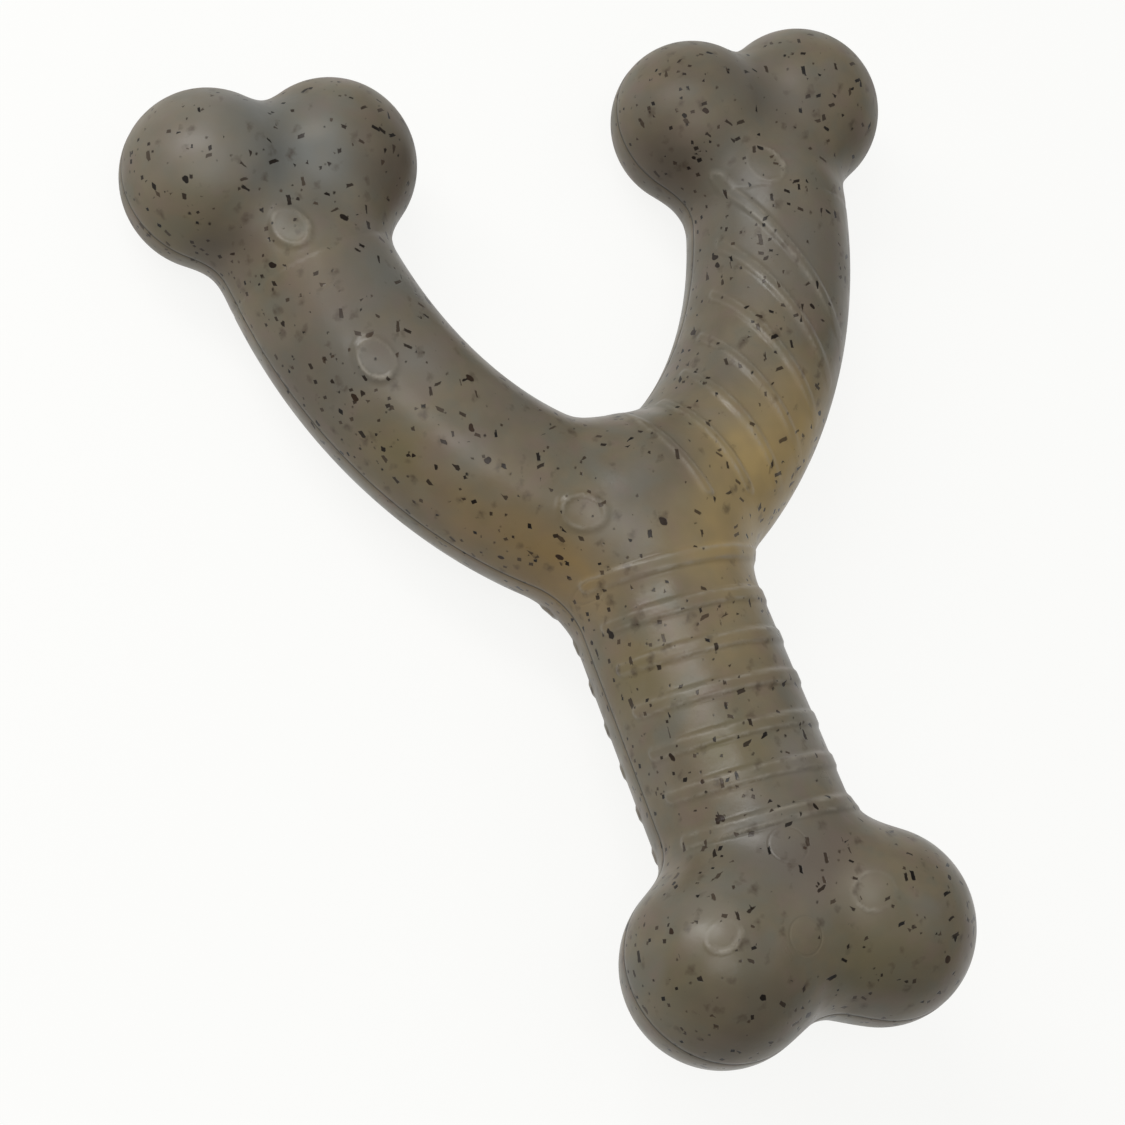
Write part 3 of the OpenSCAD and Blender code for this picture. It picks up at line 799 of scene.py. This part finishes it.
def rubber():
    """The speckled compound. One material for all pieces, in millimetres from the fork centre."""
    s = Shader("speckled_rubber")
    local = s.add("TexCoord").outputs["Object"]
    where = s.vector("MULTIPLY_ADD", local, (MM_PER_METRE,) * 3, (0.0, -FORK_Y, -FORK_Z))
    xyz = s.add("SeparateXYZ", where).outputs
    root = s.math("SQRT", s.math("MULTIPLY_ADD", xyz[1], xyz[1], ROUND * ROUND))
    bend = s.math("MULTIPLY", s.math("SUBTRACT", root, ROUND), BEND)
    high = s.math("SUBTRACT", xyz[2], s.math("ADD", s.math("MULTIPLY", xyz[1], TILT), bend))

    colour = mottled(s, where)
    # Pale relief edges: partly rubbing, partly painted highlight lines along the bars, ridges and ovals
    rub_and_highlight_share = s.ramp(s.noise(where, PALE_EDGE_SIZE)[0], 0.35, 0.65, PALE_EDGE_LEAST, PALE_EDGE_MOST)
    edges = s.add("Attribute", attribute_name="rubbed_and_highlit").outputs["Fac"]
    colour = s.mix(s.math("MULTIPLY", edges, rub_and_highlight_share), colour, RUBBED_AND_HIGHLIGHT)
    colour, pits = chipped(s, where, colour)
    line = s.ramp(s.math("ABSOLUTE", high), PARTING_OUTER, PARTING_INNER)
    colour = s.mix(s.math("MULTIPLY", line, PARTING_DARK), colour, LINE_DARK)

    height = s.math("MULTIPLY", s.noise(where, WAVE_SIZE, 3.0, 0.4)[0], WAVE_HEIGHT)
    height = s.math("MULTIPLY_ADD", s.noise(where, PORE_SIZE)[0], PORE_HEIGHT, height)
    height = s.math("MULTIPLY_ADD", pits, CHIP_SINK, height)
    height = s.math("MULTIPLY_ADD", line, PARTING_SINK, height)
    height = s.math("MULTIPLY_ADD", mould_circles(s, where, high), CIRCLE_SINK, height)
    bump = s.add("Bump")
    bump.inputs["Distance"].default_value = 1 / MM_PER_METRE
    s.links.new(height, bump.inputs["Height"])

    skin = s.add("BsdfPrincipled")
    s.links.new(colour, skin.inputs["Base Color"])
    rough = s.ramp(s.noise(where, ROUGH_SIZE, 3.0)[0], 0.2, 0.8, ROUGH_LEAST, ROUGH_MOST)
    duller = s.ramp(xyz[1], ROUGH_FROM, ROUGH_TO, 0.0, ROUGH_MORE)
    s.links.new(s.math("ADD", rough, duller), skin.inputs["Roughness"])
    s.links.new(bump.outputs["Normal"], skin.inputs["Normal"])
    skin.inputs["IOR"].default_value = RUBBER_IOR
    s.add("OutputMaterial", skin.outputs["BSDF"])
    return s.material


points, normals, regions = cut_regions(*fine_skin())
# Pale edges: partly rubbing, partly painted highlight lines
rubbed_and_highlit = wear(points, normals)
compound = rubber()
for name, faces in regions.items():
    build_piece(name, points, normals, rubbed_and_highlit, faces).data.materials.append(compound)

# Floor, light and camera
scene = bpy.context.scene
scene.view_settings.view_transform = "Standard"

# The camera that matches the photograph: its place in metres and its axes in the part's frame
EYE = Vector((-0.2194012, -0.0889655, 0.4493847))
RIGHT = Vector((0.891528, -0.25962, 0.371181))
UP = Vector((0.163593, 0.948684, 0.270622))
BACK = Vector((-0.422392, -0.180544, 0.88825))
CAMERA_LENS = 92.472
SENSOR = 36.0
CLIP_NEAR = 0.01
CLIP_FAR = 20
# Floor: half its side in metres, its colours, and how much of the glow the camera and reflections see
FLOOR_HALF = 3
FLOOR_PLAIN = (0.8, 0.8, 0.78, 1)
FLOOR_WHITE = (1.0, 1.0, 0.985, 1)
FLOOR_GLOW = 0.88
WORLD_STRENGTH = 0.27


def pale_floor():
    """White to the camera and in reflections, with the object's shadow still on it."""
    s = Shader("pale_floor")
    ray = s.add("LightPath").outputs
    indirect = s.math("MAXIMUM", ray["Is Glossy Ray"], ray["Is Transmission Ray"])
    seen = s.math("MAXIMUM", ray["Is Camera Ray"], indirect)
    plain = s.out("BsdfDiffuse", FLOOR_PLAIN)
    glow = s.out("Emission", FLOOR_WHITE, 1.0)
    s.add("OutputMaterial", s.out("MixShader", s.math("MULTIPLY", seen, FLOOR_GLOW), plain, glow))
    return s.material


mesh = bpy.data.meshes.new("floor")
corners = [(x * FLOOR_HALF, y * FLOOR_HALF, 0) for x, y in ((-1, -1), (1, -1), (1, 1), (-1, 1))]
mesh.from_pydata(corners, [], [(0, 1, 2, 3)])
mesh.materials.append(pale_floor())
floor = bpy.data.objects.new("floor", mesh)
scene.collection.objects.link(floor)

camera = bpy.data.objects.new("camera", bpy.data.cameras.new("camera"))
camera.data.sensor_width = SENSOR
camera.data.lens = CAMERA_LENS
camera.data.clip_start = CLIP_NEAR
camera.data.clip_end = CLIP_FAR
camera.matrix_world = Matrix.Translation(EYE) @ Matrix((RIGHT, UP, BACK)).transposed().to_4x4()
scene.collection.objects.link(camera)
scene.camera = camera


def lamp(name, direction, distance, width, height, power):
    """A white soft box. Its direction from the object is given in the camera's right, up and back."""
    way = (RIGHT * direction[0] + UP * direction[1] + BACK * direction[2]).normalized()
    data = bpy.data.lights.new(name, "AREA")
    data.shape = "RECTANGLE"
    data.size = width
    data.size_y = height
    data.energy = power
    box = bpy.data.objects.new(name, data)
    side = (RIGHT - way * RIGHT.dot(way)).normalized()
    turned = Matrix((side, way.cross(side), way)).transposed().to_4x4()
    box.matrix_world = Matrix.Translation(way * distance) @ turned
    scene.collection.objects.link(box)


lamp("key", (-0.3, 0.63, 0.7), 0.9, 0.62, 0.2, 4.7)
lamp("front", (0.03, 0.12, 0.99), 0.9, 0.5, 0.22, 2.0)
lamp("fill", (0.55, 0.22, 0.8), 1.2, 1.2, 1.2, 2.1)

world = bpy.data.worlds.new("world")
scene.world = world
world.use_nodes = True
background = world.node_tree.nodes["Background"]
background.inputs["Color"].default_value = (1, 1, 1, 1)
background.inputs["Strength"].default_value = WORLD_STRENGTH
